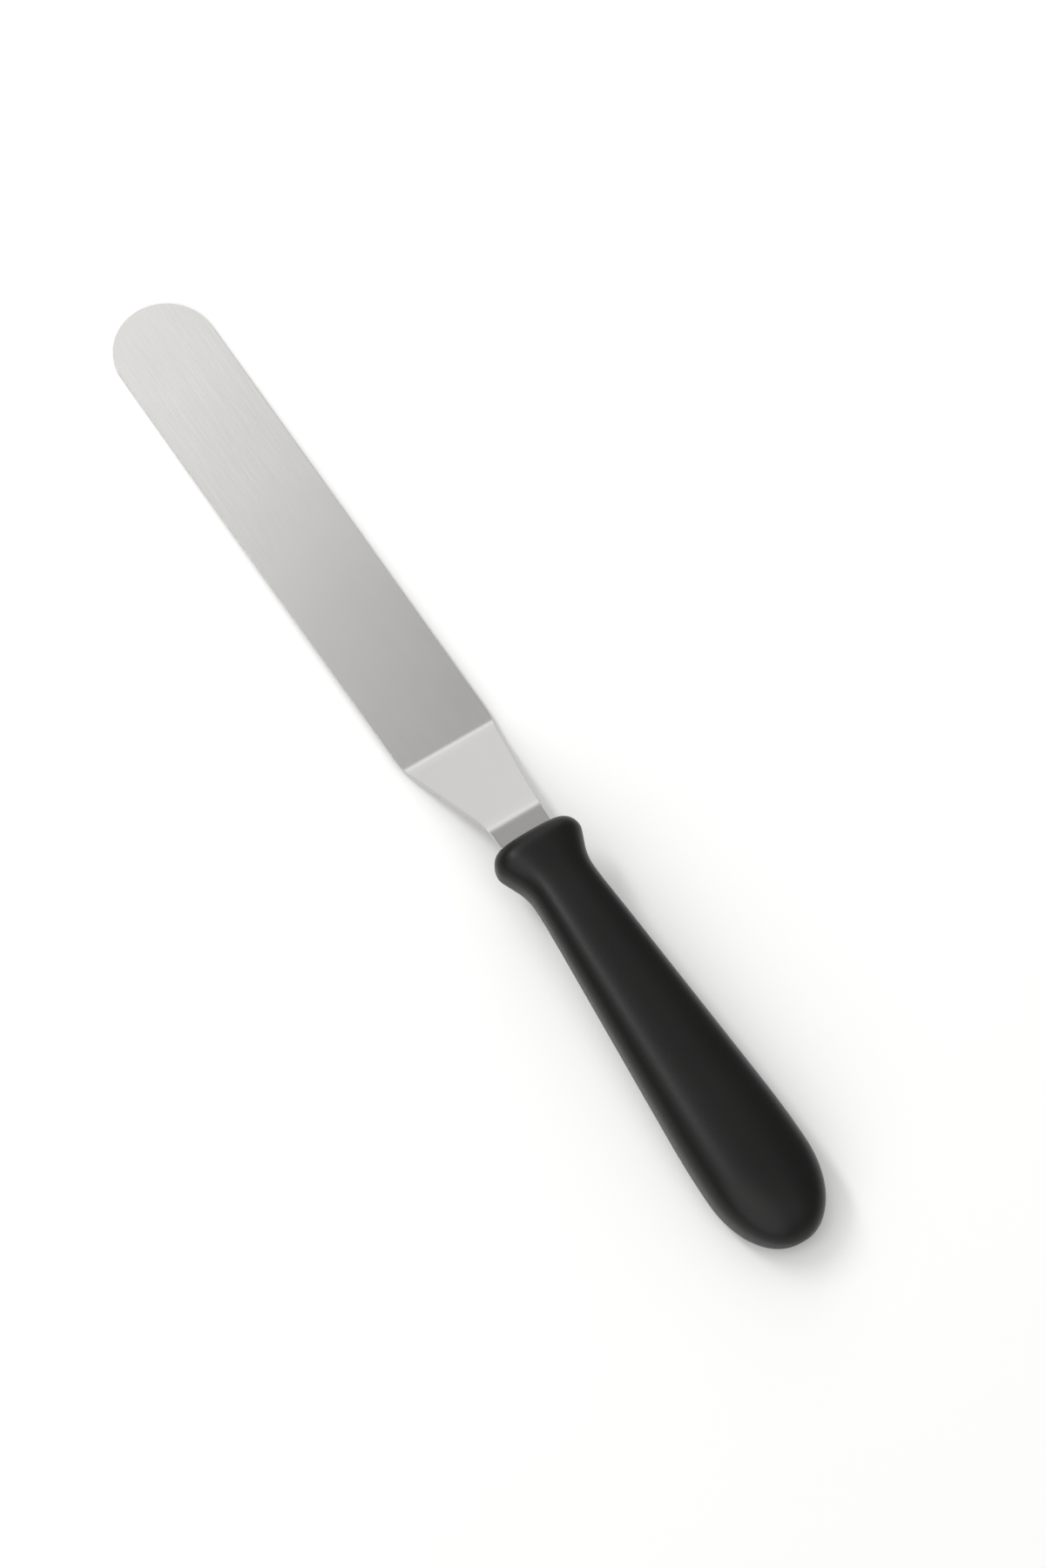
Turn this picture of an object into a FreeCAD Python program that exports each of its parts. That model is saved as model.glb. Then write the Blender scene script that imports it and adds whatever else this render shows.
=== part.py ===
import FreeCAD, Part
import math
import os

import Sketcher
from FreeCAD import Placement, Rotation, Vector

# Offset spatula: one cranked stainless strip, and the plastic handle moulded round its tang.
#
# Both pieces are drawn in the blade's own frame, in millimetres: the origin is the tip of the
# blade at mid thickness, +X runs from the tip to the butt, and +Z is the side that the strip
# is cranked to.  At the end both get one common Placement, which stands the spatula on a table
# the way it comes to rest: on the edge of its tip and on the underside of its butt.

# Driving sizes in millimetres and degrees, with what each one is.
SIZES = {
    "blade_length": (136.0, "tip to the corner of the first bend"),
    "blade_width": (25.0, "width of the working blade"),
    "strip_thickness": (1.0, "thickness of the stainless strip"),
    "crank_angle": (22.5, "rise of the crank above the blade"),
    "offset_rise": (10.8, "corner of the second bend above the blade"),
    "heel_radius": (8.0, "mid radius of the first bend"),
    "neck_radius": (10.0, "mid radius of the second bend"),
    "neck_length": (7.4, "corner of the second bend to the front of the handle"),
    "neck_drop_angle": (2.5, "fall of the neck and tang towards the butt"),
    "taper_setback": (4.5, "start of the taper to the corner of the first bend"),
    "taper_radius": (15.0, "convex radius where the taper starts"),
    "neck_width": (13.6, "width of the neck where it enters the handle"),
    "neck_flare": (55.0, "concave radius where the taper runs into the neck"),
    "neck_straight": (2.0, "parallel stretch of neck in front of the handle"),
    "shoulder_depth": (6.0, "how far the full neck width goes into the handle"),
    "tang_length": (70.0, "front of the handle to the end of the tang"),
    "tang_width": (9.0, "width of the tang behind its shoulders"),
    "shoulder_radius": (1.5, "inner corner radius at the tang's shoulders"),
    "lock_hole": (4.5, "diameter of the holes that the plastic keys through"),
    "lock_hole_setback": (9.0, "end of the tang to the middle of the last hole"),
    "lock_hole_pitch": (20.0, "distance from one hole to the next"),
    "handle_length": (117.5, "front face to butt, along the handle"),
    "handle_lift": (0.7, "middle of the handle above the strip at the front"),
    "level_length": (12.0, "front stretch of the handle, level with the blade"),
    "bend_length": (18.0, "stretch over which the handle turns downwards"),
    "handle_drop_angle": (5.6, "fall of the grip towards the butt"),
    "collar_width": (22.7, "widest part of the collar"),
    "collar_thickness": (13.8, "thickest part of the collar"),
    "nose_length": (4.3, "front face to the crest of the collar"),
    "nose_radius": (3.7, "how far the front edge is rounded inwards"),
    "waist_distance": (15.0, "front face to the waist"),
    "waist_width": (16.8, "narrowest part of the handle"),
    "waist_thickness": (12.4, "thickness at the waist"),
    "butt_length": (20.5, "widest part of the grip to the end of the butt"),
    "grip_width": (26.9, "widest part of the grip"),
    "grip_thickness": (18.0, "thickest part of the grip"),
    "section_exponent": (2.8, "squareness of the handle's section, 2 is an ellipse"),
    "butt_exponent": (2.1, "squareness of the butt's outline, 2 is an ellipse"),
    "gate_mark": (1.2, "diameter of the flat that the mould's gate leaves at the butt"),
}

LOCK_HOLES = 3               # holes in a row along the tang
TRIM_MARGIN = 5.0            # how far the trimming outline stands outside the strip
SECTION_STEPS = 16           # steps over half a section
SECTION_TURNS = [math.pi * i / SECTION_STEPS for i in range(SECTION_STEPS + 1)]
NOSE_SECTIONS = 6            # steps over the rounded front of the collar
FLARE_SECTIONS = 7           # steps from the collar's crest to the waist
FLANK_SECTIONS = 9           # steps from the waist to the widest part
BUTT_SECTIONS = 9            # steps over the butt
FLARE_EASES = (0.12, 0.56)   # rounded shares of the flare, at the crest and at the waist
FLANK_EASES = (0.06, 0.20)   # rounded shares of the flank, at the waist and at the widest part
REST_STEPS = 400             # points tried along the underside to find where it rests

# The same places as expressions of the sheet, for the sketches' constraints.
NECK_CORNER = "(Sizes.blade_length + Sizes.offset_rise / tan(Sizes.crank_angle))"
FRONT = f"({NECK_CORNER} + Sizes.neck_length * cos(Sizes.neck_drop_angle))"
HEEL_SETBACK = "Sizes.heel_radius * tan(Sizes.crank_angle / 2)"
NECK_TURN = "(Sizes.crank_angle + Sizes.neck_drop_angle)"
NECK_SETBACK = f"Sizes.neck_radius * tan({NECK_TURN} / 2)"
TANG_END = f"({FRONT} + Sizes.tang_length * cos(Sizes.neck_drop_angle))"


def add_sizes(doc):
    """Write every driving size to the sheet: its name, its value and what it is."""
    sheet = doc.addObject("Spreadsheet::Sheet", "Sizes")
    for row, (name, (value, meaning)) in enumerate(SIZES.items(), start=1):
        sheet.set(f"A{row}", name)
        sheet.set(f"B{row}", str(value))
        sheet.setAlias(f"B{row}", name)
        sheet.set(f"C{row}", meaning)
    doc.recompute()
    return sheet


def new_sketch(body, name, role):
    """Add a sketch on the body's own origin plane that has the given role."""
    plane = next(item for item in body.Origin.OriginFeatures if item.Role == role)
    sketch = body.newObject("Sketcher::SketchObject", name)
    sketch.AttachmentSupport = [(plane, "")]
    sketch.MapMode = "FlatFace"
    return sketch


def tie(sketch, kind, *where):
    """Add a constraint that has no size."""
    sketch.addConstraint(Sketcher.Constraint(kind, *where))


def measure(sketch, kind, *where, size):
    """Add a constraint that takes its size from an expression of the sheet.

    The last number in where is only the value it has before the expression is worked out.
    """
    index = sketch.addConstraint(Sketcher.Constraint(kind, *where))
    sketch.setExpression(f"Constraints[{index}]", size)


def line(sketch, start, end):
    """Add a straight edge between two (x, y) points and return its number."""
    return sketch.addGeometry(Part.LineSegment(Vector(*start, 0), Vector(*end, 0)))


def arc(sketch, centre, radius, first, last):
    """Add an arc from one angle to another, anticlockwise, and return its number."""
    circle = Part.Circle(Vector(*centre, 0), Vector(0, 0, 1), radius)
    return sketch.addGeometry(
        Part.ArcOfCircle(circle, math.radians(first), math.radians(last))
    )


def plan_places(sheet):
    """Work out the places along X that the sketches start from, before they are solved."""
    crank = math.radians(sheet.crank_angle)
    drop = math.radians(sheet.neck_drop_angle)
    neck_corner = sheet.blade_length + sheet.offset_rise / math.tan(crank)
    front = neck_corner + sheet.neck_length * math.cos(drop)
    tang_end = front + sheet.tang_length * math.cos(drop)
    return neck_corner, front, tang_end


def draw_spine(body, sheet):
    """Draw the strip's side view as one line: blade, bend, crank, bend, neck and tang."""
    sketch = new_sketch(body, "SideLine", "XZ_Plane")
    crank = math.radians(sheet.crank_angle)
    drop = math.radians(sheet.neck_drop_angle)
    neck_corner, _, tang_end = plan_places(sheet)
    heel = (sheet.blade_length, 0)
    neck = (neck_corner, sheet.offset_rise)
    end = (tang_end, sheet.offset_rise - (tang_end - neck_corner) * math.tan(drop))
    blade = line(sketch, (0, 0), heel)
    heel_bend = arc(sketch, (heel[0], sheet.heel_radius), sheet.heel_radius,
                    270, 270 + sheet.crank_angle)
    rise = line(sketch, heel, neck)
    neck_bend = arc(sketch, (neck[0], neck[1] - sheet.neck_radius), sheet.neck_radius,
                    90 - sheet.neck_drop_angle, 90 + sheet.crank_angle)
    tang = line(sketch, neck, end)
    tie(sketch, "Coincident", blade, 1, -1, 1)
    tie(sketch, "Horizontal", blade)
    tie(sketch, "Tangent", blade, 2, heel_bend, 1)
    tie(sketch, "Tangent", heel_bend, 2, rise, 1)
    tie(sketch, "Tangent", rise, 2, neck_bend, 2)
    tie(sketch, "Tangent", neck_bend, 1, tang, 1)
    measure(sketch, "DistanceX", blade, 1, blade, 2, heel[0],
            size=f"Sizes.blade_length - {HEEL_SETBACK}")
    measure(sketch, "Radius", heel_bend, sheet.heel_radius, size="Sizes.heel_radius")
    measure(sketch, "Radius", neck_bend, sheet.neck_radius, size="Sizes.neck_radius")
    measure(sketch, "Angle", -1, 1, rise, 1, crank, size="Sizes.crank_angle * 1 deg")
    measure(sketch, "Angle", tang, 1, -1, 1, drop, size="Sizes.neck_drop_angle * 1 deg")
    measure(sketch, "Distance", rise, math.dist(heel, neck),
            size=f"Sizes.offset_rise / sin(Sizes.crank_angle) - {HEEL_SETBACK} - {NECK_SETBACK}")
    measure(sketch, "Distance", tang, math.dist(neck, end),
            size=f"Sizes.neck_length + Sizes.tang_length - {NECK_SETBACK}")
    return sketch


def draw_strip_section(body, sheet):
    """Draw the strip's section: a rectangle about the middle of the blade."""
    sketch = new_sketch(body, "StripSection", "YZ_Plane")
    side, half = sheet.blade_width / 2, sheet.strip_thickness / 2
    corners = [(-side, -half), (side, -half), (side, half), (-side, half)]
    edges = [line(sketch, *pair) for pair in zip(corners, corners[1:] + corners[:1])]
    bottom, right, top, left = edges
    for first, second in zip(edges, edges[1:] + edges[:1]):
        tie(sketch, "Coincident", first, 2, second, 1)
    for edge in (bottom, top):
        tie(sketch, "Horizontal", edge)
    for edge in (right, left):
        tie(sketch, "Vertical", edge)
    tie(sketch, "Symmetric", bottom, 1, top, 1, -1, 1)
    measure(sketch, "DistanceX", bottom, 1, bottom, 2, 2 * side, size="Sizes.blade_width")
    measure(sketch, "DistanceY", right, 1, right, 2, 2 * half, size="Sizes.strip_thickness")
    return sketch


def draw_trim(body, sheet):
    """Draw what is cut away beside the strip, seen from above, on its +Y side.

    The inner edges are the outline that is left: the round tip, the straight side, the taper
    over the crank, the neck, the shoulder and the tang with its round end.
    """
    sketch = new_sketch(body, "TrimOutline", "XY_Plane")
    neck_corner, front, tang_end = plan_places(sheet)
    side, neck, tang = sheet.blade_width / 2, sheet.neck_width / 2, sheet.tang_width / 2
    taper_start = sheet.blade_length - sheet.taper_setback
    flare_end = front - sheet.neck_straight
    shoulder = front + sheet.shoulder_depth
    slope = math.atan2(side - neck, neck_corner - taper_start)
    turn = math.degrees(slope)
    bend_end = (taper_start + sheet.taper_radius * math.sin(slope),
                side - sheet.taper_radius * (1 - math.cos(slope)))
    flare_start = (flare_end - sheet.neck_flare * math.sin(slope),
                   neck + sheet.neck_flare * (1 - math.cos(slope)))

    tip = arc(sketch, (side, 0), side, 90, 180)
    edge = line(sketch, (side, side), (taper_start, side))
    taper_bend = arc(sketch, (taper_start, side - sheet.taper_radius), sheet.taper_radius,
                     90 - turn, 90)
    taper = line(sketch, bend_end, flare_start)
    flare = arc(sketch, (flare_end, neck + sheet.neck_flare), sheet.neck_flare,
                270 - turn, 270)
    collar_run = line(sketch, (flare_end, neck), (shoulder, neck))
    step = line(sketch, (shoulder, neck), (shoulder, tang + sheet.shoulder_radius))
    inner = arc(sketch, (shoulder + sheet.shoulder_radius, tang + sheet.shoulder_radius),
                sheet.shoulder_radius, 180, 270)
    tang_side = line(sketch, (shoulder + sheet.shoulder_radius, tang), (tang_end - tang, tang))
    tang_tip = arc(sketch, (tang_end - tang, 0), tang, 0, 90)
    outer_end, outer_side = tang_end + TRIM_MARGIN, side + TRIM_MARGIN
    frame_points = [(tang_end, 0), (outer_end, 0), (outer_end, outer_side),
                    (-TRIM_MARGIN, outer_side), (-TRIM_MARGIN, 0), (0, 0)]
    frame = [line(sketch, *pair) for pair in zip(frame_points, frame_points[1:])]

    tie(sketch, "Tangent", tip, 1, edge, 1)
    tie(sketch, "Tangent", edge, 2, taper_bend, 2)
    tie(sketch, "Tangent", taper_bend, 1, taper, 1)
    tie(sketch, "Tangent", taper, 2, flare, 1)
    tie(sketch, "Tangent", flare, 2, collar_run, 1)
    tie(sketch, "Coincident", collar_run, 2, step, 1)
    tie(sketch, "Tangent", step, 2, inner, 1)
    tie(sketch, "Tangent", inner, 2, tang_side, 1)
    tie(sketch, "Tangent", tang_side, 2, tang_tip, 2)
    tie(sketch, "Coincident", tang_tip, 1, frame[0], 1)
    for first, second in zip(frame, frame[1:]):
        tie(sketch, "Coincident", first, 2, second, 1)
    tie(sketch, "Coincident", frame[-1], 2, tip, 2)
    tie(sketch, "Coincident", tip, 2, -1, 1)
    tie(sketch, "PointOnObject", tip, 3, -1)
    tie(sketch, "PointOnObject", tang_tip, 3, -1)
    tie(sketch, "PointOnObject", tang_tip, 1, -1)
    for flat in (edge, collar_run, tang_side, frame[0], frame[2], frame[4]):
        tie(sketch, "Horizontal", flat)
    for upright in (step, frame[1], frame[3]):
        tie(sketch, "Vertical", upright)
    measure(sketch, "Radius", tip, side, size="Sizes.blade_width / 2")
    measure(sketch, "DistanceX", -1, 1, edge, 2, taper_start,
            size="Sizes.blade_length - Sizes.taper_setback")
    measure(sketch, "Radius", taper_bend, sheet.taper_radius, size="Sizes.taper_radius")
    measure(sketch, "Radius", flare, sheet.neck_flare, size="Sizes.neck_flare")
    measure(sketch, "DistanceX", -1, 1, collar_run, 1, flare_end,
            size=f"{FRONT} - Sizes.neck_straight")
    measure(sketch, "DistanceY", -1, 1, collar_run, 1, neck, size="Sizes.neck_width / 2")
    measure(sketch, "DistanceX", -1, 1, collar_run, 2, shoulder,
            size=f"{FRONT} + Sizes.shoulder_depth * cos(Sizes.neck_drop_angle)")
    measure(sketch, "Radius", inner, sheet.shoulder_radius, size="Sizes.shoulder_radius")
    measure(sketch, "DistanceY", -1, 1, tang_side, 1, tang, size="Sizes.tang_width / 2")
    measure(sketch, "DistanceX", -1, 1, tang_tip, 1, tang_end, size=TANG_END)
    measure(sketch, "Distance", frame[0], TRIM_MARGIN, size=f"{TRIM_MARGIN}")
    measure(sketch, "Distance", frame[4], TRIM_MARGIN, size=f"{TRIM_MARGIN}")
    measure(sketch, "Distance", frame[1], outer_side,
            size=f"Sizes.blade_width / 2 + {TRIM_MARGIN}")
    return sketch


def draw_lock_hole(body, sheet):
    """Draw the tang's first locking hole, the one nearest the blade."""
    sketch = new_sketch(body, "LockHole", "XY_Plane")
    _, _, tang_end = plan_places(sheet)
    first = tang_end - sheet.lock_hole_setback - (LOCK_HOLES - 1) * sheet.lock_hole_pitch
    circle = Part.Circle(Vector(first, 0, 0), Vector(0, 0, 1), sheet.lock_hole / 2)
    hole = sketch.addGeometry(circle)
    tie(sketch, "PointOnObject", hole, 3, -1)
    measure(sketch, "Diameter", hole, sheet.lock_hole, size="Sizes.lock_hole")
    measure(sketch, "DistanceX", -1, 1, hole, 3, first,
            size=f"{TANG_END} - Sizes.lock_hole_setback"
                 f" - {LOCK_HOLES - 1} * Sizes.lock_hole_pitch")
    return sketch


def cut_through(body, sketch, name):
    """Cut a sketch right through the body, both ways from its plane."""
    pocket = body.newObject("PartDesign::Pocket", name)
    pocket.Profile = sketch
    pocket.Midplane = True
    pocket.Type = "ThroughAll"
    return pocket


def make_blade(doc, sheet):
    """Make the strip: swept along its side view, trimmed to its outline, with locking holes."""
    body = doc.addObject("PartDesign::Body", "Blade")
    body.Label = "blade"
    strip = body.newObject("PartDesign::AdditivePipe", "Strip")
    strip.Profile = draw_strip_section(body, sheet)
    strip.Spine = (draw_spine(body, sheet), [])
    doc.recompute()
    trim_sketch = draw_trim(body, sheet)
    trim = cut_through(body, trim_sketch, "Trim")
    doc.recompute()
    both_sides = body.newObject("PartDesign::Mirrored", "TrimBothSides")
    both_sides.Originals = [trim]
    both_sides.MirrorPlane = (trim_sketch, ["H_Axis"])
    body.Tip = both_sides
    doc.recompute()
    hole_sketch = draw_lock_hole(body, sheet)
    hole = cut_through(body, hole_sketch, "FirstLockHole")
    doc.recompute()
    row = body.newObject("PartDesign::LinearPattern", "LockHoles")
    row.Originals = [hole]
    row.Direction = (hole_sketch, ["H_Axis"])
    row.Occurrences = LOCK_HOLES
    row.setExpression("Length", f"{LOCK_HOLES - 1} * Sizes.lock_hole_pitch")
    body.Tip = row
    doc.recompute()
    return body


def eased(share, eases):
    """Climb from 0 to 1: level at both ends over the eased shares, straight in between."""
    start, end = eases
    slope = 1 / (1 - (start + end) / 2)
    if share < start:
        return slope * share ** 2 / (2 * start)
    if share > 1 - end:
        return 1 - slope * (1 - share) ** 2 / (2 * end)
    return slope * (share - start / 2)


def stations(sheet):
    """Return the sections' distances from the front face, closer where the shape turns."""
    crest, waist = sheet.nose_length, sheet.waist_distance
    widest = sheet.handle_length - sheet.butt_length
    rounding = 2 / sheet.butt_exponent
    gate = math.acos((sheet.gate_mark / sheet.grip_width) ** (1 / rounding))
    quarter = math.pi / 2
    nose = [crest * (1 - math.cos(quarter * i / NOSE_SECTIONS)) for i in range(NOSE_SECTIONS)]
    flare = [crest + (waist - crest) * i / FLARE_SECTIONS for i in range(FLARE_SECTIONS)]
    flank = [waist + (widest - waist) * i / FLANK_SECTIONS for i in range(FLANK_SECTIONS)]
    butt = [widest + sheet.butt_length * math.sin(gate * i / BUTT_SECTIONS) ** rounding
            for i in range(BUTT_SECTIONS + 1)]
    return nose + flare + flank + butt


def half_size(sheet, distance, collar, waist, grip):
    """Return half the width or half the thickness at a distance from the front face."""
    crest, narrow = sheet.nose_length, sheet.waist_distance
    widest = sheet.handle_length - sheet.butt_length
    if distance < crest:
        share = 1 - distance / crest
        return collar / 2 - sheet.nose_radius * (1 - math.sqrt(1 - share ** 2))
    if distance < narrow:
        share = (distance - crest) / (narrow - crest)
        return (collar - (collar - waist) * eased(share, FLARE_EASES)) / 2
    if distance < widest:
        share = (distance - narrow) / (widest - narrow)
        return (waist + (grip - waist) * eased(share, FLANK_EASES)) / 2
    share = (distance - widest) / sheet.butt_length
    return grip / 2 * (1 - share ** sheet.butt_exponent) ** (1 / sheet.butt_exponent)


def axis_point(sheet, distance):
    """Return the handle's axis at a distance from its front: x, z and slope in radians.

    The axis runs level, turns downwards along an arc, and then runs straight to the butt.
    """
    _, front, _ = plan_places(sheet)
    drop = math.radians(sheet.handle_drop_angle)
    neck_fall = sheet.neck_length * math.sin(math.radians(sheet.neck_drop_angle))
    height = sheet.offset_rise - neck_fall + sheet.handle_lift
    radius = sheet.bend_length / drop
    turned = min(max((distance - sheet.level_length) / sheet.bend_length, 0), 1) * drop
    beyond = max(distance - sheet.level_length - sheet.bend_length, 0)
    x = front + min(distance, sheet.level_length) + radius * math.sin(turned)
    z = height - radius * (1 - math.cos(turned))
    return x + beyond * math.cos(drop), z - beyond * math.sin(drop), turned


def section_points(sheet, distance, side):
    """Return one half of the handle's section, over (side 1) or under (side -1) its axis.

    The section is a superellipse, square to the axis at a distance from the front.
    """
    x, z, slope = axis_point(sheet, distance)
    across = half_size(sheet, distance, sheet.collar_width, sheet.waist_width,
                       sheet.grip_width)
    rise = half_size(sheet, distance, sheet.collar_thickness, sheet.waist_thickness,
                     sheet.grip_thickness)
    up = Vector(math.sin(slope), 0, math.cos(slope)) * side
    power = sheet.section_exponent
    points = []
    for turn in SECTION_TURNS:
        cosine, sine = math.cos(turn), math.sin(turn)
        reach = (abs(cosine) ** power + abs(sine) ** power) ** (-1 / power)
        points.append(Vector(x, across * reach * cosine, z) + up * rise * reach * sine)
    return points


def smooth_curve(points, parameters):
    """Return the smooth curve that passes the points at the given parameters."""
    curve = Part.BSplineCurve()
    curve.interpolate(Points=points, Parameters=parameters)
    return curve


def skin_half(sheet, side):
    """Return the smooth face over or under the handle's axis, from the front to the butt.

    A curve runs through each section, and then one along the handle through each row of
    the sections' poles.  The outline's own length spaces the sections, so that both halves
    share their edges exactly.
    """
    places = stations(sheet)
    sections = [smooth_curve(section_points(sheet, place, side), SECTION_TURNS)
                for place in places]
    outline = [section_points(sheet, place, 1)[0] for place in places]
    spacing = [0.0]
    for last, point in zip(outline, outline[1:]):
        spacing.append(spacing[-1] + last.distanceToPoint(point))
    rows = [smooth_curve(list(row), spacing)
            for row in zip(*[section.getPoles() for section in sections])]
    surface = Part.BSplineSurface()
    surface.buildFromPolesMultsKnots(
        [row.getPoles() for row in rows],
        sections[0].getMultiplicities(), rows[0].getMultiplicities(),
        sections[0].getKnots(), rows[0].getKnots(),
        False, False, sections[0].Degree, rows[0].Degree)
    return surface.toShape()


def end_face(halves, choose):
    """Close one end of the skin: choose is min for the front face and max for the butt."""
    edges = [choose(half.Edges, key=lambda edge: edge.CenterOfMass.x) for half in halves]
    return Part.Face(Part.Wire(edges))


def skin_solid(sheet):
    """Return the handle's outside as one solid, with nothing cut out for the strip."""
    halves = [skin_half(sheet, 1), skin_half(sheet, -1)]
    shell = Part.Shell(halves + [end_face(halves, min), end_face(halves, max)])
    return Part.Solid(shell)


def make_handle(doc, sheet, blade):
    """Make the handle: a skin of rounded sections, less the room that the strip takes in it.

    The section is a superellipse, which neither a sketch nor a primitive can hold, so the
    skin's shape is set here.  The cut leaves the plastic that keys through the tang.
    """
    skin = doc.addObject("Part::Feature", "HandleSkin")
    skin.Shape = skin_solid(sheet)
    handle = doc.addObject("Part::Cut", "Handle")
    handle.Label = "handle"
    handle.Base = skin
    handle.Tool = blade
    doc.recompute()
    return skin, handle


def rest_placement(sheet, pieces):
    """Return the Placement that stands the pieces on a table, over the middle of their box.

    The spatula rests on the edge of its tip and on the lowest line of its butt, so the angle
    is the steepest one from the tip's underside down to the underside of the handle.
    """
    tip_height = -sheet.strip_thickness / 2
    angle = 0.0
    for step in range(1, REST_STEPS):
        distance = sheet.handle_length * step / REST_STEPS
        x, z, slope = axis_point(sheet, distance)
        down = half_size(sheet, distance, sheet.collar_thickness, sheet.waist_thickness,
                         sheet.grip_thickness)
        low = Vector(x - down * math.sin(slope), 0, z - down * math.cos(slope))
        angle = max(angle, math.atan2(tip_height - low.z, low.x))
    turn = Placement(Vector(), Rotation(Vector(0, 1, 0), -math.degrees(angle)))
    stood = Part.makeCompound([piece.Shape for piece in pieces]).transformed(turn.toMatrix())
    box = stood.optimalBoundingBox()
    middle = Vector((box.XMin + box.XMax) / 2, (box.YMin + box.YMax) / 2, box.ZMin)
    return Placement(middle * -1, Rotation()).multiply(turn)


def check(doc, pieces):
    """Stop if an object failed to compute or a piece is not one sound solid."""
    for item in doc.Objects:
        if {"Invalid", "Error"} & set(item.State):
            raise RuntimeError(f"{item.Name} failed: {item.State}")
    for piece in pieces:
        shape = piece.Shape
        if shape.isNull() or not shape.isValid() or len(shape.Solids) != 1:
            raise RuntimeError(f"{piece.Label} is not one sound solid")


def main():
    """Build the spatula and write one STEP file for each piece."""
    doc = FreeCAD.newDocument("OffsetSpatula")
    sheet = add_sizes(doc)
    blade = make_blade(doc, sheet)
    skin, handle = make_handle(doc, sheet, blade)
    pieces = [blade, handle]
    check(doc, pieces)
    rest = rest_placement(sheet, pieces)
    blade.Placement = rest
    skin.Placement = rest
    doc.recompute()
    check(doc, pieces)
    os.makedirs("parts", exist_ok=True)
    for piece in pieces:
        piece.Shape.exportStep(f"parts/{piece.Label}.step")
        box = piece.Shape.optimalBoundingBox()
        print(f"{piece.Label}: {piece.Shape.Volume:.0f} mm3, {box}")


main()
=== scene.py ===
import logging
import math
from dataclasses import dataclass
from enum import Enum

import bpy
from mathutils import Matrix, Quaternion, Vector


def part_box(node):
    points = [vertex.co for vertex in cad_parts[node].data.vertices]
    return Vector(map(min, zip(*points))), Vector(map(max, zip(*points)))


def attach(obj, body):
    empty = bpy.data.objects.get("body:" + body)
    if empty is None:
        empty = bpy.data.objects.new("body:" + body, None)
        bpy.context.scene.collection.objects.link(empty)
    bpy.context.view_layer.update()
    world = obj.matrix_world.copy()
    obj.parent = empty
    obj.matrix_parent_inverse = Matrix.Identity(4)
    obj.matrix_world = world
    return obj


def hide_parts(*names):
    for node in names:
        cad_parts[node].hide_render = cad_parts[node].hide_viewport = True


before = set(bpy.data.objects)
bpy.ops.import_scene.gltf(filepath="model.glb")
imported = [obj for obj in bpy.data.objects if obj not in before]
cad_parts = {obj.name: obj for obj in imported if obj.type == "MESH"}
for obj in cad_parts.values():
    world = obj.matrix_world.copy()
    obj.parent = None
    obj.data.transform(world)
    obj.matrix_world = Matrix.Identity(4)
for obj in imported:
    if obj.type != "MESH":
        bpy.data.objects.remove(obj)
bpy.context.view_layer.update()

LOG = logging.getLogger("offset_spatula")
MM = 0.001
MERGE_GAP = 1e-7                   # points nearer than this are one point
NOISE_LOW, NOISE_HIGH = 0.3, 0.7   # nearly all of a noise pattern lies between these
MIX_FIRST, MIX_SECOND = 6, 7       # the Mix node's colour inputs, which share their names
MIX_RESULT = 2                     # its colour output


class LampKind(Enum):
    """What gives the light: a panel close by, or a source so far that it lights evenly."""

    PANEL = "AREA"
    FAR = "SUN"


def linear(colour: str) -> tuple[float, float, float, float]:
    """Turn an sRGB hex colour into linear values.

    Args:
        colour: Six hex digits after a hash sign.

    Returns:
        Red, green, blue and a full alpha.
    """
    parts = [int(colour[i:i + 2], 16) / 255 for i in (1, 3, 5)]
    red, green, blue = [
        part / 12.92 if part <= 0.04045 else ((part + 0.055) / 1.055) ** 2.4
        for part in parts
    ]
    return red, green, blue, 1.0


def add_node(
    tree: bpy.types.NodeTree,
    kind: str,
    settings: dict[str, object] | None = None,
    links: dict[str, bpy.types.NodeSocket] | None = None,
) -> bpy.types.Node:
    """Add a node with its settings and links.

    Args:
        tree: The material's or the world's nodes.
        kind: The node's type name.
        settings: Values for the node's properties, or for inputs with that name.
        links: The output that each named input takes.

    Returns:
        The new node.
    """
    node = tree.nodes.new(kind)
    for name, value in (settings or {}).items():
        if name in node.inputs:
            node.inputs[name].default_value = value
        else:
            setattr(node, name, value)
    for name, socket in (links or {}).items():
        tree.links.new(socket, node.inputs[name])
    return node


def select_none() -> None:
    """Leave edit mode and deselect everything."""
    if bpy.context.object is not None and bpy.context.object.mode != "OBJECT":
        bpy.ops.object.mode_set(mode="OBJECT")
    bpy.ops.object.select_all(action="DESELECT")


def make_active(piece: bpy.types.Object) -> None:
    """Select one piece alone and make it the active one.

    Args:
        piece: The piece to select.
    """
    select_none()
    piece.select_set(True)
    bpy.context.view_layer.objects.active = piece


def finish_with(piece: bpy.types.Object, kind: str, **settings: object) -> None:
    """Put a modifier on a piece and apply it.

    Args:
        piece: The piece to change.
        kind: The modifier's type name.
        settings: Values for the modifier's properties.
    """
    make_active(piece)
    modifier = piece.modifiers.new(kind.title(), kind)
    for name, value in settings.items():
        setattr(modifier, name, value)
    bpy.ops.object.modifier_apply(modifier=modifier.name)


def close_and_face_out(piece: bpy.types.Object) -> None:
    """Merge a piece's doubled points and turn all its faces outwards.

    Args:
        piece: The piece to close.
    """
    make_active(piece)
    bpy.ops.object.mode_set(mode="EDIT")
    bpy.ops.mesh.select_all(action="SELECT")
    bpy.ops.mesh.remove_doubles(threshold=MERGE_GAP)
    bpy.ops.mesh.normals_make_consistent(inside=False)
    bpy.ops.object.mode_set(mode="OBJECT")


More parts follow.
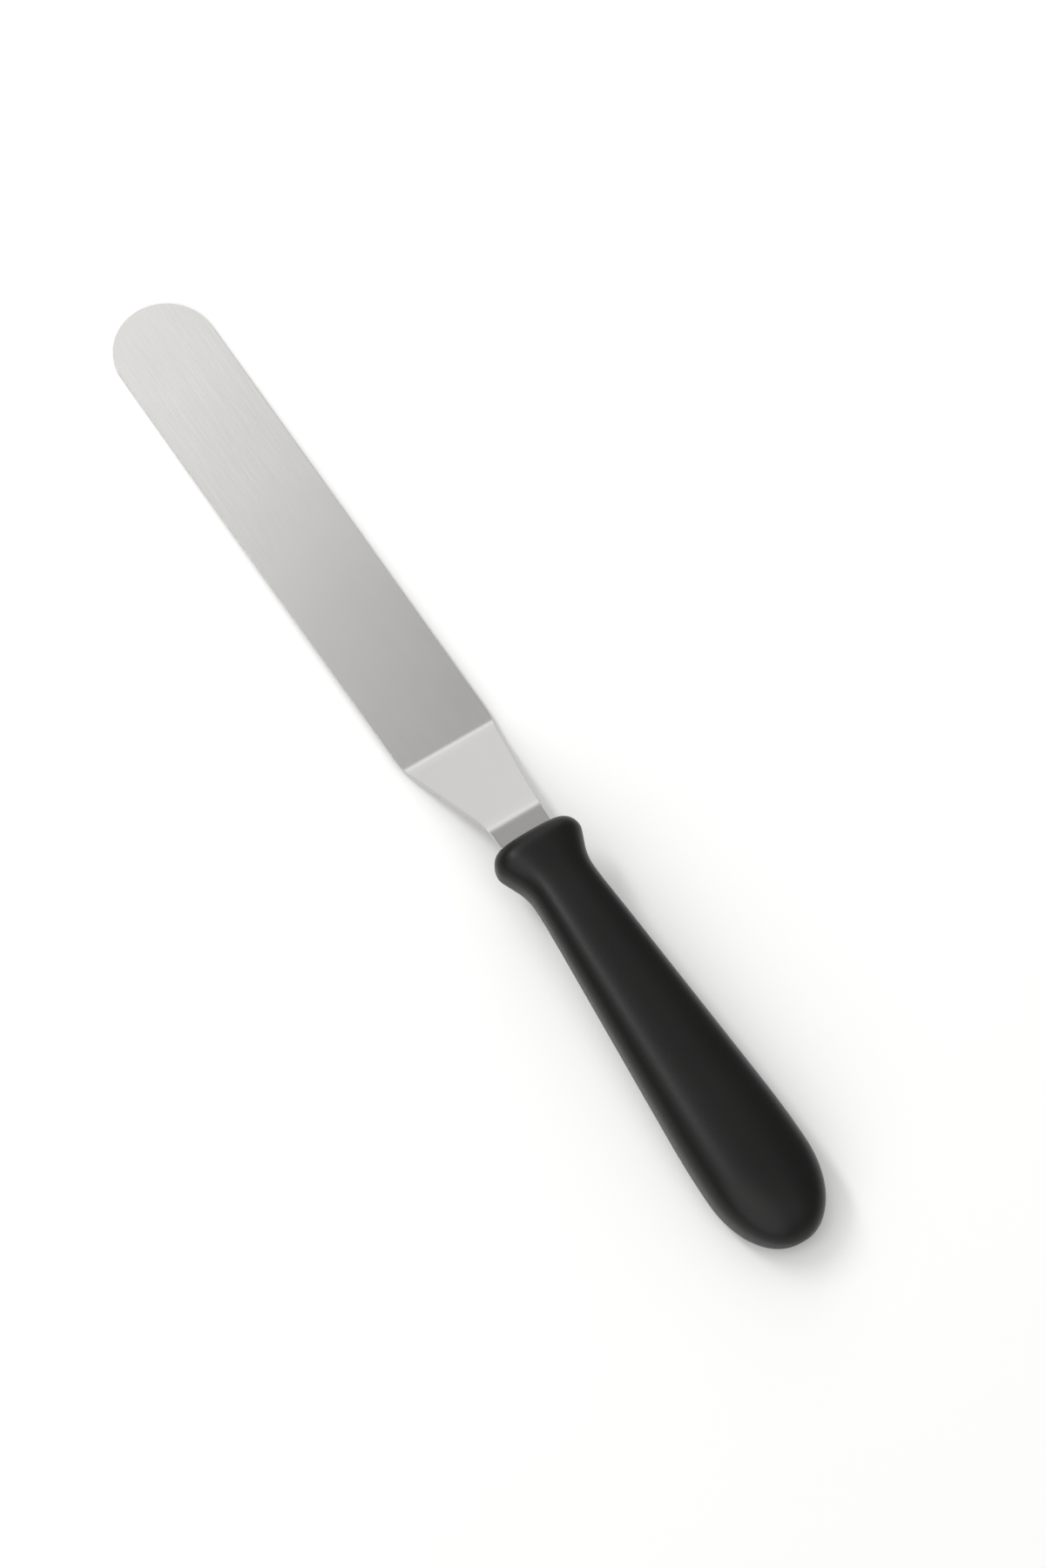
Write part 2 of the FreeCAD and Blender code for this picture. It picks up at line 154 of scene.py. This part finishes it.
def settle(piece: bpy.types.Object) -> None:
    """Move a piece's place, turn and scale into its mesh."""
    make_active(piece)
    bpy.ops.object.transform_apply(location=True, rotation=True, scale=True)


# --- Finishes ---------------------------------------------------------------------------


def empty_material(name: str) -> bpy.types.Material:
    """Return a new material with no nodes in it.

    Args:
        name: The material's name.

    Returns:
        The empty material.
    """
    made = bpy.data.materials.new(name)
    made.use_nodes = True
    made.node_tree.nodes.clear()
    return made


def lay_surface(
    tree: bpy.types.NodeTree,
    relief: bpy.types.NodeSocket,
    clouds: bpy.types.NodeSocket,
    colours: tuple[str, str],
    roughness: tuple[float, float],
    depth: float,
    settings: dict[str, object],
) -> None:
    """Wire a surface whose fine relief also roughens it and whose colour drifts in clouds.

    Args:
        tree: The material's nodes.
        relief: The fine pattern, from 0 to 1.
        clouds: The coarse pattern that mixes the two colours.
        colours: The two sRGB hex colours.
        roughness: The middle roughness and how far it strays.
        depth: The depth of the relief.
        settings: Values for the shader's own inputs.
    """
    middle, spread = roughness
    roughened = add_node(
        tree, "ShaderNodeMapRange",
        {"From Min": NOISE_LOW, "From Max": NOISE_HIGH,
         "To Min": middle - spread, "To Max": middle + spread},
        {"Value": relief},
    )
    colour = add_node(tree, "ShaderNodeMix", {"data_type": "RGBA"}, {"Factor": clouds})
    for socket, shade in zip((MIX_FIRST, MIX_SECOND), colours):
        colour.inputs[socket].default_value = linear(shade)
    bump = add_node(
        tree, "ShaderNodeBump", {"Strength": 1.0, "Distance": depth}, {"Height": relief})
    shader = add_node(
        tree, "ShaderNodeBsdfPrincipled", settings,
        {"Base Color": colour.outputs[MIX_RESULT], "Roughness": roughened.outputs["Result"],
         "Normal": bump.outputs["Normal"]},
    )
    add_node(tree, "ShaderNodeOutputMaterial", None, {"Surface": shader.outputs["BSDF"]})


@dataclass(frozen=True)
class SatinStainless:
    """Cold-rolled 18/8 stainless strip, finely ground along its length.

    The grind leaves short scratches one way, so the steel mirrors nothing sharply: it takes a
    soft, even sheen that drifts from bright to grey with what stands over it.
    """

    colour: str = "#BDBCBA"
    dull_colour: str = "#B7B6B4"
    roughness: float = 0.20
    roughness_spread: float = 0.03
    scratch_gap: float = 0.35 * MM     # the real grit leaves 0.05 mm; coarse enough to show
    scratch_length: float = 14 * MM
    scratch_depth: float = 0.0012 * MM
    handling_patch: float = 22 * MM    # size of the clouds that wiping leaves

    def material(self) -> bpy.types.Material:
        """Build the finish and return its material.

        Returns:
            The material.
        """
        made = empty_material("stainless_satin_ground")
        tree = made.node_tree
        place = add_node(tree, "ShaderNodeTexCoord").outputs["Object"]
        along = add_node(
            tree, "ShaderNodeMapping",
            {"Scale": (1 / self.scratch_length, 1 / self.scratch_gap, 1 / self.scratch_gap)},
            {"Vector": place},
        )
        scratches = add_node(
            tree, "ShaderNodeTexNoise",
            {"Scale": 1.0, "Detail": 5.0, "Roughness": 0.62},
            {"Vector": along.outputs["Vector"]},
        )
        clouds = add_node(
            tree, "ShaderNodeTexNoise",
            {"Scale": 1 / self.handling_patch, "Detail": 2.0, "Roughness": 0.45},
            {"Vector": place},
        )
        lay_surface(
            tree, scratches.outputs["Fac"], clouds.outputs["Fac"],
            (self.colour, self.dull_colour), (self.roughness, self.roughness_spread),
            self.scratch_depth, {"Metallic": 1.0})
        return made


@dataclass(frozen=True)
class MouldedPolypropylene:
    """Black polypropylene from a spark-eroded mould.

    The mould's fine matt grain scatters the light, so highlights are wide, dim and soft at
    their edges, and the surface is a warm near-black.
    """

    colour: str = "#0D0D0C"
    pale_colour: str = "#111110"
    roughness: float = 0.38
    roughness_spread: float = 0.04
    ior: float = 1.49
    gloss: float = 0.26                # under the usual 0.5: the grain's pits trap light
    grain: float = 0.45 * MM           # the real spark grain is 0.1 mm; coarse enough to show
    grain_depth: float = 0.012 * MM
    flow_patch: float = 16 * MM        # size of the clouds that the flowing plastic leaves

    def material(self) -> bpy.types.Material:
        """Build the finish and return its material.

        Returns:
            The material.
        """
        made = empty_material("polypropylene_black_spark_grain")
        tree = made.node_tree
        place = add_node(tree, "ShaderNodeTexCoord").outputs["Object"]
        grain = add_node(
            tree, "ShaderNodeTexNoise",
            {"Scale": 1 / self.grain, "Detail": 3.0, "Roughness": 0.55},
            {"Vector": place},
        )
        clouds = add_node(
            tree, "ShaderNodeTexNoise",
            {"Scale": 1 / self.flow_patch, "Detail": 2.0, "Roughness": 0.5},
            {"Vector": place},
        )
        lay_surface(
            tree, grain.outputs["Fac"], clouds.outputs["Fac"],
            (self.colour, self.pale_colour), (self.roughness, self.roughness_spread),
            self.grain_depth, {"IOR": self.ior, "Specular IOR Level": self.gloss})
        return made


@dataclass(frozen=True)
class MattTable:
    """Pale matt laminate: no gloss, so shadows lie on it softly."""

    colour: str = "#F7F7F6"
    roughness: float = 0.9

    def material(self) -> bpy.types.Material:
        """Build the finish and return its material.

        Returns:
            The material.
        """
        made = empty_material("laminate_pale_matt")
        tree = made.node_tree
        shader = add_node(
            tree, "ShaderNodeBsdfPrincipled",
            {"Base Color": linear(self.colour), "Roughness": self.roughness,
             "Specular IOR Level": 0.0},
        )
        add_node(tree, "ShaderNodeOutputMaterial", None, {"Surface": shader.outputs["BSDF"]})
        return made


# --- The strip --------------------------------------------------------------------------


@dataclass
class Strip:
    """The stainless strip: working blade, crank, neck and tang in one piece.

    It is cut as a flat blank with the outline it has from above, and then bent twice.
    """

    blade_length: float = 136.0 * MM
    blade_width: float = 25.0 * MM
    thickness: float = 1.0 * MM
    crank_angle: float = math.radians(22.5)
    offset_rise: float = 10.8 * MM
    heel_radius: float = 8.0 * MM
    neck_radius: float = 10.0 * MM
    neck_length: float = 7.4 * MM
    neck_drop: float = math.radians(2.5)
    taper_setback: float = 4.5 * MM
    taper_radius: float = 15.0 * MM
    neck_width: float = 13.6 * MM
    neck_flare: float = 55.0 * MM
    neck_straight: float = 2.0 * MM
    shoulder_depth: float = 6.0 * MM
    tang_length: float = 70.0 * MM
    tang_width: float = 9.0 * MM
    shoulder_radius: float = 1.5 * MM
    lock_hole: float = 4.5 * MM
    lock_hole_setback: float = 9.0 * MM
    lock_hole_pitch: float = 20.0 * MM
    lock_holes: int = 3
    rest_tilt: float = math.radians(1.0530)   # how far the strip's tip end leans down at rest
    broken_edge: float = 0.14 * MM            # radius that deburring leaves along the edges
    broken_segments: int = 3
    sharp_angle: float = math.radians(50)     # edges that turn by more than this are broken
    tip_step: float = math.radians(3)
    tang_tip_step: float = math.radians(6)
    crank_step: float = 0.4 * MM
    shoulder_step: float = 0.02 * MM          # stretch over which the shoulder steps in
    hole_sides: int = 40
    punch_length: float = 10.0 * MM           # reaches right through the tang
    normal_weight: int = 50

    @property
    def neck_corner(self) -> float:
        """Return the place of the second bend's corner along the strip."""
        return self.blade_length + self.offset_rise / math.tan(self.crank_angle)

    @property
    def front(self) -> float:
        """Return the place of the handle's front face along the strip."""
        return self.neck_corner + self.neck_length * math.cos(self.neck_drop)

    @property
    def tang_end(self) -> float:
        """Return the place of the tang's end along the strip."""
        return self.front + self.tang_length * math.cos(self.neck_drop)

    def origin(self) -> Vector:
        """Return where the tip's middle is at rest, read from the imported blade.

        Returns:
            The point on the table's frame.
        """
        low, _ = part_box("blade")
        half = self.thickness / 2
        return Vector((low.x + half * math.sin(self.rest_tilt), 0,
                       low.z + half * math.cos(self.rest_tilt)))

    def rest(self) -> Matrix:
        """Return the placement that takes the strip's own frame to the table's."""
        turn = Matrix.Rotation(-self.rest_tilt, 4, "Y")
        return Matrix.Translation(self.origin()) @ turn

    def half_width(self, x: float) -> float:
        """Return half the strip's width at a place along it.

        Args:
            x: Distance from the tip, seen from above.

        Returns:
            Half the width there.
        """
        side, neck, tang = self.blade_width / 2, self.neck_width / 2, self.tang_width / 2
        taper_start = self.blade_length - self.taper_setback
        flare_end = self.front - self.neck_straight
        slope = self.taper_slope()
        bend_end = taper_start + self.taper_radius * math.sin(slope)
        flare_start = flare_end - self.neck_flare * math.sin(slope)
        if x < side:
            return math.sqrt(max(side ** 2 - (side - x) ** 2, 0))
        if x < taper_start:
            return side
        if x < bend_end:
            run = x - taper_start
            return side - self.taper_radius + math.sqrt(self.taper_radius ** 2 - run ** 2)
        if x < flare_start:
            fallen = self.taper_radius * (1 - math.cos(slope))
            return side - fallen - (x - bend_end) * math.tan(slope)
        if x < flare_end:
            run = flare_end - x
            return neck + self.neck_flare - math.sqrt(self.neck_flare ** 2 - run ** 2)
        shoulder = self.front + self.shoulder_depth * math.cos(self.neck_drop)
        if x <= shoulder:
            return neck
        if x < self.tang_end - tang:
            return tang
        reach = x - (self.tang_end - tang)
        return math.sqrt(max(tang ** 2 - reach ** 2, 0))

    def taper_slope(self) -> float:
        """Return the angle of the taper's side, which runs tangent to both of its arcs.

        Returns:
            The angle in radians, seen from above.
        """
        run = self.front - self.neck_straight - (self.blade_length - self.taper_setback)
        fall = (self.blade_width - self.neck_width) / 2
        both = self.taper_radius + self.neck_flare
        return math.atan2(run, both - fall) - math.acos(both / math.hypot(run, both - fall))

    def height(self, x: float) -> float:
        """Return how high the middle of the strip is at a place along it.

        Args:
            x: Distance from the tip, seen from above.

        Returns:
            Height above the middle of the working blade.
        """
        crank, drop = self.crank_angle, self.neck_drop
        heel_back = self.heel_radius * math.tan(crank / 2)
        neck_back = self.neck_radius * math.tan((crank + drop) / 2)
        heel_start = self.blade_length - heel_back
        heel_end = self.blade_length + heel_back * math.cos(crank)
        neck_start = self.neck_corner - neck_back * math.cos(crank)
        neck_end = self.neck_corner + neck_back * math.cos(drop)
        if x < heel_start:
            return 0.0
        if x < heel_end:
            run = x - heel_start
            return self.heel_radius - math.sqrt(self.heel_radius ** 2 - run ** 2)
        if x < neck_start:
            return (x - self.blade_length) * math.tan(crank)
        if x < neck_end:
            centre = neck_start + self.neck_radius * math.sin(crank)
            base = (neck_start - self.blade_length) * math.tan(crank)
            base -= self.neck_radius * math.cos(crank)
            return base + math.sqrt(self.neck_radius ** 2 - (x - centre) ** 2)
        return self.offset_rise - (x - self.neck_corner) * math.tan(drop)

    def stations(self) -> list[float]:
        """Return the places along the strip where its blank is stepped, from tip to tang.

        Returns:
            Distances from the tip, seen from above.
        """
        side, tang = self.blade_width / 2, self.tang_width / 2
        quarter = math.pi / 2
        tip_count = round(quarter / self.tip_step)
        tip = [side * (1 - math.cos((i + 0.5) * self.tip_step)) for i in range(tip_count)]
        start = self.blade_length - self.taper_setback
        shoulder = self.front + self.shoulder_depth * math.cos(self.neck_drop)
        count = math.ceil((self.front - start) / self.crank_step)
        crank = [start + (self.front - start) * i / count for i in range(count + 1)]
        end = self.tang_end - tang
        hidden = [shoulder, shoulder + self.shoulder_step, end]
        tail = [end + tang * math.sin((i + 0.5) * self.tang_tip_step)
                for i in range(round(quarter / self.tang_tip_step))]
        return tip + [side] + crank + hidden + tail

    def cut_blank(self) -> bpy.types.Object:
        """Cut the flat blank: one edge at the tip, extruded and widened station by station.

        Returns:
            The flat blank, with no thickness yet.
        """
        places = self.stations()
        first, second = places[0], places[1]
        select_none()
        bpy.ops.mesh.primitive_plane_add(
            size=1, location=((first + second) / 2, 0, 0), calc_uvs=False)
        blank = bpy.context.object
        blank.scale = (second - first, 1, 1)
        settle(blank)
        for vertex in blank.data.vertices:
            near = first if vertex.co.x < (first + second) / 2 else second
            vertex.co.y = math.copysign(self.half_width(near), vertex.co.y)
        bpy.ops.object.mode_set(mode="EDIT")
        bpy.ops.mesh.select_mode(type="EDGE")
        bpy.ops.mesh.select_all(action="DESELECT")
        bpy.ops.object.mode_set(mode="OBJECT")
        for edge in blank.data.edges:
            ends = [blank.data.vertices[i].co.x for i in edge.vertices]
            edge.select = min(ends) > (first + second) / 2
        bpy.ops.object.mode_set(mode="EDIT")
        for last, place in zip(places[1:], places[2:]):
            bpy.ops.mesh.extrude_edges_move(
                TRANSFORM_OT_translate={"value": (place - last, 0, 0)})
            share = self.half_width(place) / self.half_width(last)
            bpy.ops.transform.resize(value=(1, share, 1), center_override=(place, 0, 0))
        bpy.ops.object.mode_set(mode="OBJECT")
        return blank

    def bend(self, blank: bpy.types.Object) -> None:
        """Bend the blank at its heel and at its neck."""
        for vertex in blank.data.vertices:
            vertex.co.z = self.height(vertex.co.x)

    def drill(self, strip: bpy.types.Object) -> None:
        """Drill the locking holes through the tang.

        Args:
            strip: The bent strip, at its full thickness.
        """
        for number in range(self.lock_holes):
            x = self.tang_end - self.lock_hole_setback - number * self.lock_hole_pitch
            select_none()
            bpy.ops.mesh.primitive_cylinder_add(
                vertices=self.hole_sides, radius=self.lock_hole / 2, depth=self.punch_length,
                location=(x, 0, self.height(x)))
            punch = bpy.context.object
            settle(punch)
            finish_with(strip, "BOOLEAN", object=punch, operation="DIFFERENCE", solver="EXACT")
            bpy.data.objects.remove(punch)

    def build(self) -> bpy.types.Object:
        """Make the strip and return it, at rest on the table.

        Returns:
            The finished strip, with no material yet.
        """
        strip = self.cut_blank()
        strip.name = strip.data.name = "spatula_blade"
        self.bend(strip)
        close_and_face_out(strip)
        finish_with(strip, "SOLIDIFY", thickness=self.thickness, offset=0.0,
                    use_even_offset=True)
        close_and_face_out(strip)
        self.drill(strip)
        finish_with(strip, "BEVEL", width=self.broken_edge, segments=self.broken_segments,
                    limit_method="ANGLE", angle_limit=self.sharp_angle)
        strip.data.transform(self.rest())
        make_active(strip)
        bpy.ops.object.shade_smooth()
        finish_with(strip, "WEIGHTED_NORMAL", mode="FACE_AREA", weight=self.normal_weight,
                    keep_sharp=True)
        return strip

    def dress(self, strip: bpy.types.Object) -> None:
        """Give the strip its finish, its body and the node that it stands for.

        Args:
            strip: The finished strip.
        """
        strip.data.materials.clear()
        strip.data.materials.append(SatinStainless().material())
        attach(strip, "root")
        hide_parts("blade")


# --- The handle -------------------------------------------------------------------------


@dataclass
class Handle:
    """The moulded handle: collar, waist, grip and butt, round the strip's tang.

    It is drawn out straight from its front face, ring by ring, and then laid on its bent axis.
    """

    strip: Strip
    length: float = 117.5 * MM
    lift: float = 0.7 * MM
    level_length: float = 12.0 * MM
    bend_length: float = 18.0 * MM
    drop: float = math.radians(5.6)
    collar_width: float = 22.7 * MM
    collar_thickness: float = 13.8 * MM
    nose_length: float = 4.3 * MM
    nose_radius: float = 3.7 * MM
    waist_distance: float = 15.0 * MM
    waist_width: float = 16.8 * MM
    waist_thickness: float = 12.4 * MM
    butt_length: float = 20.5 * MM
    grip_width: float = 26.9 * MM
    grip_thickness: float = 18.0 * MM
    section_exponent: float = 2.8
    butt_exponent: float = 2.1
    gate_mark: float = 1.2 * MM
    flare_eases: tuple[float, float] = (0.12, 0.56)
    flank_eases: tuple[float, float] = (0.06, 0.20)
    ring_points: int = 96
    nose_rings: int = 14
    flare_rings: int = 18
    flank_rings: int = 36
    butt_rings: int = 28
    sharp_angle: float = math.radians(40)     # edges that turn by more than this stay sharp

    @staticmethod
    def eased(share: float, eases: tuple[float, float]) -> float:
        """Climb from 0 to 1, level at both ends and straight in between.

        Args:
            share: How far along the climb, from 0 to 1.
            eases: The rounded shares at the start and at the end.

        Returns:
            The height of the climb there.
        """
        start, end = eases
        slope = 1 / (1 - (start + end) / 2)
        if share < start:
            return slope * share ** 2 / (2 * start)
        if share > 1 - end:
            return 1 - slope * (1 - share) ** 2 / (2 * end)
        return slope * (share - start / 2)

    def half_size(self, distance: float, collar: float, waist: float, grip: float) -> float:
        """Return half the width or half the thickness at a distance from the front face.

        Args:
            distance: Distance along the axis from the front face.
            collar: The full size at the collar's crest.
            waist: The full size at the waist.
            grip: The full size at the widest part of the grip.

        Returns:
            Half the size there.
        """
        crest, narrow = self.nose_length, self.waist_distance
        widest = self.length - self.butt_length
        if distance < crest:
            share = 1 - distance / crest
            return collar / 2 - self.nose_radius * (1 - math.sqrt(1 - share ** 2))
        if distance < narrow:
            share = (distance - crest) / (narrow - crest)
            return (collar - (collar - waist) * self.eased(share, self.flare_eases)) / 2
        if distance < widest:
            share = (distance - narrow) / (widest - narrow)
            return (waist + (grip - waist) * self.eased(share, self.flank_eases)) / 2
        share = min((distance - widest) / self.butt_length, 1)
        power = self.butt_exponent
        return grip / 2 * (1 - share ** power) ** (1 / power)

    def half_width(self, distance: float) -> float:
        """Return half the handle's width at a distance from its front face."""
        return self.half_size(distance, self.collar_width, self.waist_width, self.grip_width)

    def half_thickness(self, distance: float) -> float:
        """Return half the handle's thickness at a distance from its front face."""
        return self.half_size(distance, self.collar_thickness, self.waist_thickness,
                              self.grip_thickness)

    def stations(self) -> list[float]:
        """Return the rings' distances from the front face, closer where the shape turns.

        Returns:
            Distances along the handle's axis.
        """
        crest, waist = self.nose_length, self.waist_distance
        widest = self.length - self.butt_length
        rounding = 2 / self.butt_exponent
        gate = math.acos((self.gate_mark / self.grip_width) ** (1 / rounding))
        quarter = math.pi / 2
        nose = [crest * (1 - math.cos(quarter * i / self.nose_rings))
                for i in range(self.nose_rings)]
        flare = [crest + (waist - crest) * i / self.flare_rings
                 for i in range(self.flare_rings)]
        flank = [waist + (widest - waist) * i / self.flank_rings
                 for i in range(self.flank_rings)]
        butt = [widest + self.butt_length * math.sin(gate * i / self.butt_rings) ** rounding
                for i in range(self.butt_rings + 1)]
        return nose + flare + flank + butt

    def square_off(self, ring: bpy.types.Object) -> None:
        """Turn a unit circle into the handle's front outline, a rounded rectangle.

        Args:
            ring: The circle, round the X axis.
        """
        across, rise = self.half_width(0), self.half_thickness(0)
        for vertex in ring.data.vertices:
            turn = math.atan2(vertex.co.z, vertex.co.y)
            cosine, sine = math.cos(turn), math.sin(turn)
            power = self.section_exponent
            reach = (abs(cosine) ** power + abs(sine) ** power) ** (-1 / power)
            vertex.co = (0, across * reach * cosine, rise * reach * sine)

    def draw_out(self) -> bpy.types.Object:
        """Draw the straight handle out of its front face, ring by ring.

        Returns:
            The straight handle, along the X axis.
        """
        select_none()
        bpy.ops.mesh.primitive_circle_add(
            vertices=self.ring_points, radius=1, fill_type="NGON", location=(0, 0, 0),
            rotation=(0, math.pi / 2, 0))
        body = bpy.context.object
        settle(body)
        self.square_off(body)
        bpy.ops.object.mode_set(mode="EDIT")
        bpy.ops.mesh.select_mode(type="FACE")
        bpy.ops.mesh.select_all(action="SELECT")
        places = self.stations()
        for last, place in zip(places, places[1:]):
            bpy.ops.mesh.extrude_region_move(
                TRANSFORM_OT_translate={"value": (place - last, 0, 0)})
            bpy.ops.transform.resize(
                value=(1, self.half_width(place) / self.half_width(last),
                       self.half_thickness(place) / self.half_thickness(last)),
                center_override=(place, 0, 0))
        bpy.ops.object.mode_set(mode="OBJECT")
        return body

    def axis_point(self, distance: float) -> tuple[float, float, float]:
        """Return the axis's x, z and slope at a distance from the front face.

        Args:
            distance: Distance along the axis from the front face.

        Returns:
            Place along the strip, height over the blade, and fall in radians.
        """
        neck_fall = self.strip.neck_length * math.sin(self.strip.neck_drop)
        height = self.strip.offset_rise - neck_fall + self.lift
        radius = self.bend_length / self.drop
        turned = min(max((distance - self.level_length) / self.bend_length, 0), 1) * self.drop
        beyond = max(distance - self.level_length - self.bend_length, 0)
        x = self.strip.front + min(distance, self.level_length) + radius * math.sin(turned)
        z = height - radius * (1 - math.cos(turned))
        return x + beyond * math.cos(self.drop), z - beyond * math.sin(self.drop), turned

    def lay_on_axis(self, body: bpy.types.Object) -> None:
        """Lay the straight handle on its bent axis.

        Args:
            body: The straight handle, which is changed.
        """
        for vertex in body.data.vertices:
            x, z, slope = self.axis_point(vertex.co.x)
            up = vertex.co.z
            vertex.co = (x + up * math.sin(slope), vertex.co.y, z + up * math.cos(slope))

    def build(self) -> bpy.types.Object:
        """Make the handle and return it, at rest on the table.

        Returns:
            The finished handle, with no material yet.
        """
        body = self.draw_out()
        body.name = body.data.name = "spatula_handle"
        self.lay_on_axis(body)
        body.data.transform(self.strip.rest())
        close_and_face_out(body)
        make_active(body)
        bpy.ops.object.shade_smooth_by_angle(angle=self.sharp_angle)
        return body

    def dress(self, body: bpy.types.Object) -> None:
        """Give the handle its finish, its body and the node that it stands for.

        Args:
            body: The finished handle.
        """
        body.data.materials.clear()
        body.data.materials.append(MouldedPolypropylene().material())
        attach(body, "root")
        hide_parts("handle")


# --- The studio -------------------------------------------------------------------------


@dataclass(frozen=True)
class Lamp:
    """A soft light that faces a point of the spatula.

    A panel's strength is its radiance, and its turn is about the line to what it faces.  A far
    lamp's strength is the light that it casts on a surface facing it, and its width is the
    angle that it fills.
    """

    name: str
    kind: LampKind
    strength: float
    direction: tuple[float, float, float]
    width: float
    length: float = 0.0
    aim: tuple[float, float, float] = (0.0, 0.0, 0.0)
    distance: float = 1.0
    turn: float = 0.0

    def place(self) -> None:
        """Hang the lamp, turn it to what it lights and switch it on."""
        light = bpy.data.lights.new(self.name, self.kind.value)
        if self.kind is LampKind.PANEL:
            light.shape = "RECTANGLE"
            light.size, light.size_y = self.width, self.length
            light.energy = self.strength * math.pi * self.width * self.length
        else:
            light.angle = self.width
            light.energy = self.strength
        lamp = bpy.data.objects.new(self.name, light)
        bpy.context.scene.collection.objects.link(lamp)
        way = Vector(self.direction).normalized()
        lamp.location = Vector(self.aim) + way * self.distance
        lamp.rotation_mode = "QUATERNION"
        turned = Quaternion((0, 0, 1), self.turn)
        lamp.rotation_quaternion = way.to_track_quat("Z", "Y") @ turned
        lamp.visible_camera = False


@dataclass(frozen=True)
class Studio:
    """The table, the lights round it and the camera."""

    table_size: float = 60.0
    ambient: float = 0.32
    azimuth: float = math.radians(56.12)
    elevation: float = math.radians(64.60)
    roll: float = math.radians(1.33)
    look_at: tuple[float, float, float] = (8.99 * MM, 9.41 * MM, 2.94 * MM)
    lens: float = 600.0
    frame_height: float = 363.8 * MM
    sensor: float = 36.0
    view_depth: float = 100.0      # nothing past this distance is seen

    @staticmethod
    def lamps() -> list[Lamp]:
        """Return the lamps: two soft ones for the table and two panels for the gloss.

        Returns:
            The lamps, which are not yet placed.
        """
        return [
            Lamp("overhead", LampKind.FAR, strength=0.32, direction=(-0.30, -0.22, 0.93),
                 width=math.radians(70)),
            Lamp("near_side", LampKind.FAR, strength=1.78, direction=(0.50, -0.45, 0.74),
                 width=math.radians(80)),
            # Draws the narrow highlight along the handle's shoulder.
            Lamp("handle_strip", LampKind.PANEL, strength=11.5, direction=(-0.36, -0.33, 0.87),
                 width=0.70, length=0.16, aim=(-0.15, 0.0, 0.012), distance=1.2,
                 turn=math.radians(42)),
            # Stands in the steel's reflection, so that the blade darkens from tip to heel.
            Lamp("tip_panel", LampKind.PANEL, strength=0.98, direction=(-0.66, 0.21, 0.50),
                 width=1.00, length=0.56, distance=0.85, turn=math.radians(54)),
        ]

    def lay_table(self) -> None:
        """Lay the table under the spatula."""
        select_none()
        bpy.ops.mesh.primitive_plane_add(size=self.table_size, location=(0, 0, 0))
        table = bpy.context.object
        table.name = "table"
        table.data.materials.append(MattTable().material())

    def light(self) -> None:
        """Set the room's even light and place the lamps."""
        world = bpy.data.worlds.new("studio")
        bpy.context.scene.world = world
        world.use_nodes = True
        world.node_tree.nodes.clear()
        background = add_node(
            world.node_tree, "ShaderNodeBackground",
            {"Color": (1, 1, 1, 1), "Strength": self.ambient})
        add_node(world.node_tree, "ShaderNodeOutputWorld", None,
                 {"Surface": background.outputs["Background"]})
        for lamp in self.lamps():
            lamp.place()

    def set_camera(self) -> None:
        """Set the camera over the table with a long lens."""
        a, e = self.azimuth, self.elevation
        back = Vector((math.sin(a) * math.cos(e), -math.cos(a) * math.cos(e), math.sin(e)))
        level = Vector((math.cos(a), math.sin(a), 0))
        up = back.cross(level)
        right = level * math.cos(self.roll) + up * math.sin(self.roll)
        up = back.cross(right)
        data = bpy.data.cameras.new("camera")
        data.lens, data.sensor_width = self.lens, self.sensor
        data.clip_end = self.view_depth
        camera = bpy.data.objects.new("camera", data)
        bpy.context.scene.collection.objects.link(camera)
        distance = self.lens * self.frame_height / self.sensor
        turn = Matrix((right, up, back)).transposed().to_4x4()
        camera.matrix_world = Matrix.Translation(
            Vector(self.look_at) + back * distance) @ turn
        bpy.context.scene.camera = camera

    def build(self) -> None:
        """Set up the whole studio."""
        view = bpy.context.scene.view_settings
        view.view_transform = "Standard"
        view.look = "None"
        self.lay_table()
        self.light()
        self.set_camera()


def main() -> None:
    """Build the spatula and its studio, piece by piece."""
    logging.basicConfig(level=logging.INFO, format="%(name)s: %(message)s")
    strip = Strip()
    for part in (strip, Handle(strip)):
        piece = part.build()
        part.dress(piece)
        LOG.info("%s: %d faces", piece.name, len(piece.data.polygons))
    Studio().build()
    LOG.info("studio: table, lights and camera")


if __name__ == "__main__":
    main()
